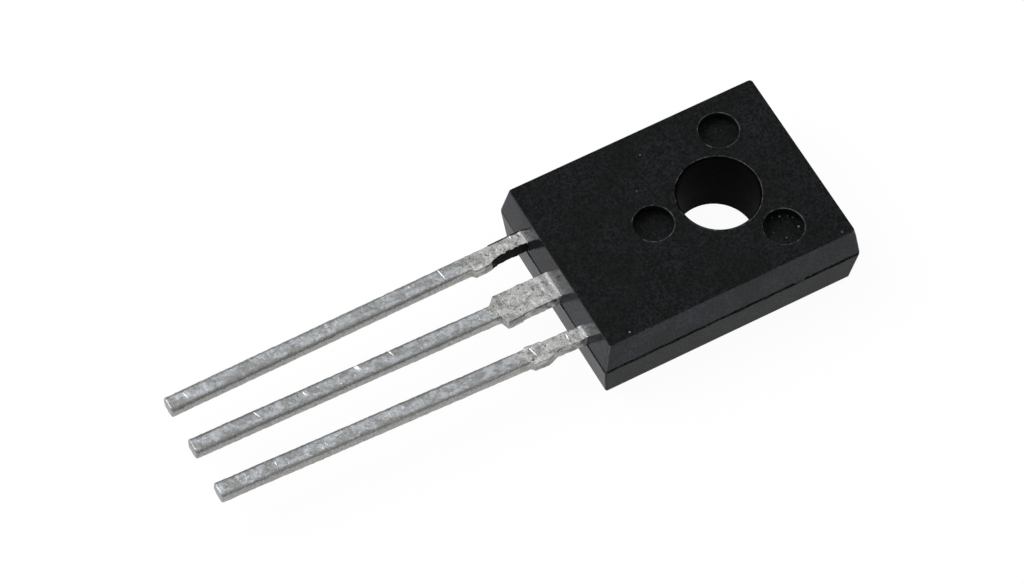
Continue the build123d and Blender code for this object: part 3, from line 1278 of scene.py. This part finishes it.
def scratch_ridges(name, lead, lines):
    """A thin ridge for each line, laid on top of the lead."""
    curve = bpy.data.curves.new(name, "CURVE")
    curve.dimensions = "3D"
    curve.bevel_depth = scratch_radius
    curve.bevel_resolution = scratch_bevel_steps
    curve.use_fill_caps = True
    for start, end, width in lines:
        spots = []
        for number in range(scratch_points):
            flat = Vector(start).lerp(Vector(end), number / (scratch_points - 1)) * MM
            hit, spot, _, _ = lead.ray_cast(Vector((*flat, body_high.z)), Vector((0, 0, -1)))
            if hit:
                spots.append(spot)
        spline = curve.splines.new("POLY")
        spline.points.add(len(spots) - 1)
        for number, (point, spot) in enumerate(zip(spline.points, spots)):
            point.co = (*spot, 1)
            fullness = math.sin(math.pi * number / (len(spots) - 1))
            point.radius = width * (scratch_end_share + (1 - scratch_end_share) * fullness)
    drawn = bpy.data.objects.new(name, curve)
    bpy.context.scene.collection.objects.link(drawn)
    shaped = drawn.evaluated_get(bpy.context.evaluated_depsgraph_get())
    mesh = bpy.data.meshes.new_from_object(shaped)
    bpy.data.objects.remove(drawn)
    bm = bmesh.new()
    bm.from_mesh(mesh)
    bmesh.ops.remove_doubles(bm, verts=bm.verts[:], dist=hair)
    return bm


bpy.context.view_layer.update()
for node, lines in scratch_lines_mm.items():
    name = "scratches_" + node
    lead = bpy.data.objects["tinned_" + node]
    ridges = new_piece(name, scratch_ridges(name, lead, lines), [scratch_glint])
    ridges.data.shade_smooth()
    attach(ridges, "root")
    print(name, "has", len(lines), "ridges")

# %% [markdown]
# ## Flash and painted shade beside the emitter lead
#
# Some compound squeezed out between the mould and the lead, and a brittle black scrap of it is still
# there. A thin black strip on the other side of the lead is painted shade, a dark sheet where that edge
# lies in shadow. Each has a drawn plan that is extruded upwards. Noise then moves the points of both
# rims a little, because flash breaks off and is not cut, and the strip gets the same broken edge.
# Blender's vector noise starts from the clock until it is given a seed, so it gets one first.

# %% Break off the flash and lay the strip of painted shade
flash_side = [
    (-1.94, -6.98), (-1.935, -7.15), (-1.945, -7.32), (-1.92, -7.42), (-1.925, -7.58), (-1.95, -7.62),
    (-1.95, -7.8), (-1.93, -7.93), (-1.93, -8.05), (-1.915, -8.2), (-1.89, -8.34), (-1.86, -8.5),
    (-1.91, -8.49), (-1.955, -8.38), (-1.985, -8.24), (-2.02, -8.12), (-2.02, -7.98), (-2.0, -7.95),
    (-2.0, -7.87), (-2.055, -7.84), (-2.06, -7.72), (-2.01, -7.68), (-2.01, -7.56), (-2.04, -7.51),
    (-2.04, -7.39), (-2.01, -7.34), (-2.05, -7.27), (-2.04, -7.16), (-2.02, -7.08), (-2.03, -6.98),
]
# Plan of a thin black strip on the lead's far edge: painted shade where that edge is in shadow.
painted_shade_strip = [(-2.6, -7), (-2.606, -7.5), (-2.613, -8.3), (-2.617, -8.3), (-2.628, -7.5), (-2.632, -7)]
flash_rise = 0.035 * MM
flash_foot = 0.09 * MM
shade_strip_height = 0.12 * MM
flash_jitter = 0.022 * MM
shade_strip_jitter = 0.006 * MM
flash_and_shade_grain = 0.06 * MM
flash_and_shade_cuts = 2
flash_and_shade_seed = 1


def drawn_piece(bm, outline, bottom, top, jitter):
    """Scrap of flash, and also the strip of painted shade: a drawn plan whose points are moved a little by
    noise to look broken.
    """
    plan = bm.faces.new([bm.verts.new((x * MM, y * MM, bottom)) for x, y in outline])
    bmesh.ops.subdivide_edges(bm, edges=plan.edges[:], cuts=flash_and_shade_cuts)
    low_rim = plan.verts[:]
    high_rim = extrude_open_face(bm, plan).verts[:]
    bmesh.ops.translate(bm, verts=high_rim, vec=(0, 0, top - bottom))
    for vert in low_rim + high_rim:
        vert.co += jitter * noise.noise_vector(vert.co / flash_and_shade_grain)


flash_and_shade_finish = moulding_finish(
    "moulding_flash_and_shade", (0.004, 0.004, 0.004), roughness=0.7, gloss=0.08,
    grain_size_mm=0.07, grain_depth_mm=0.01,
)
noise.seed_set(flash_and_shade_seed)
flash_and_shade_bm = bmesh.new()
drawn_piece(flash_and_shade_bm, flash_side, lead_bottom + flash_foot, lead_top + flash_rise, flash_jitter)
# The strip of painted shade along the lead's far edge.
drawn_piece(flash_and_shade_bm, painted_shade_strip, lead_top - shade_strip_height, lead_top, shade_strip_jitter)
bmesh.ops.recalc_face_normals(flash_and_shade_bm, faces=flash_and_shade_bm.faces[:])
flash = new_piece("mould_flash_and_shade", flash_and_shade_bm, [flash_and_shade_finish])
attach(flash, "root")
print("flash has", len(flash.data.polygons), "faces")

# %% [markdown]
# ## Beads of solder
#
# As the leads drained after the dip, small beads stayed on their edges. Each bead is a flattened ball
# that a slanting ray sets on the rounded edge. A noise value chooses its place and size, so the row
# looks scattered but is the same in every run. On the emitter lead the row starts past the trimmed
# bar, because the flash covers the edge before it.

# %% Set the beads on the lead edges
bead_spacing = 0.42 * MM
bead_radius = 0.034 * MM
bead_reach = 1 * MM
bead_noise_step = 0.73
bead_noise_row = 0.5
bead_wander_share = 0.8
bead_rise_share = 0.9
bead_rise_swing_share = 0.5
bead_least_share = 0.55
bead_swing_share = 0.9
bead_shape_shares = (1, 1.6, 0.6, 1)


def bead_row(name, lead, side, start_y):
    bm = bmesh.new()
    slanting = Vector((-1, 0, -1)).normalized()
    count = int((start_y - lead_tip) / bead_spacing)
    for number in range(1, count):
        wander = noise.noise(Vector((number * bead_noise_step, side[0][1] / MM, bead_noise_row)))
        y = start_y - bead_spacing * (number + bead_wander_share * wander)
        rise = bead_reach * (bead_rise_share + bead_rise_swing_share * wander)
        start = Vector((value_along(side, y) + bead_reach, y, lead_top + rise))
        hit, spot, normal, _ = lead.ray_cast(start, slanting)
        if hit:
            size = bead_radius * (bead_least_share + bead_swing_share * abs(wander))
            turn = normal.to_track_quat("Z", "Y").to_matrix().to_4x4()
            place = Matrix.Translation(spot) @ turn @ Matrix.Diagonal(bead_shape_shares)
            bmesh.ops.create_icosphere(bm, subdivisions=2, radius=size, matrix=place)
    beads = new_piece(name, bm, [tin])
    beads.data.shade_smooth()
    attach(beads, "root")
    return beads


for node, (sides, _, _) in leads.items():
    first_bead = dam_far if node == "emitter_lead" else lead_end
    lead = bpy.data.objects["tinned_" + node]
    beads = bead_row("beads_" + node, lead, sides[1], first_bead)
    print(beads.name, "has", len(beads.data.polygons), "faces")

# %% [markdown]
# ## Pieces sealed in the body
#
# The paddle, the die, its solder and the two bond wires never show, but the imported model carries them,
# so each keeps its solid and gets a metal of its own. One function with a few values makes all four
# metals, because nothing finer would ever be seen.

# %% Finish the sealed pieces
metal_roughness_swing = 0.12
metal_bump_depth_mm = 0.004
metal_bump_strength = 0.5


def metal_finish(name, dark, light, roughness, patch_mm):
    material, tree, shader = new_finish(name)
    place = millimetres(tree)
    patches = pattern(tree, blotches, place, Size=patch_mm, Low=0.3, High=0.7)
    link(tree, blend(tree, patches, dark, light), shader.inputs["Base Color"])
    roughest = roughness + metal_roughness_swing
    link(tree, spread(tree, patches, roughness, roughest), shader.inputs["Roughness"])
    shader.inputs["Metallic"].default_value = 1
    raise_bump(tree, shader, patches, metal_bump_depth_mm, metal_bump_strength)
    return material


sealed = {
    "collector_paddle": metal_finish("bare_copper", (0.5, 0.24, 0.15), (0.72, 0.4, 0.28), 0.3, 0.5),
    "silicon_die": metal_finish("polished_silicon", (0.06, 0.06, 0.08), (0.13, 0.13, 0.16), 0.1, 0.4),
    "die_solder": metal_finish("die_solder", (0.3, 0.3, 0.31), (0.5, 0.5, 0.52), 0.35, 0.2),
    "emitter_wire": metal_finish("bond_wire", (0.62, 0.62, 0.63), (0.8, 0.8, 0.82), 0.25, 0.1),
}
sealed["base_wire"] = sealed["emitter_wire"]
for node, finish in sealed.items():
    solid = frame["nodes"][node]
    solid.data.materials.clear()
    solid.data.materials.append(finish)
print("sealed pieces:", ", ".join(sealed))
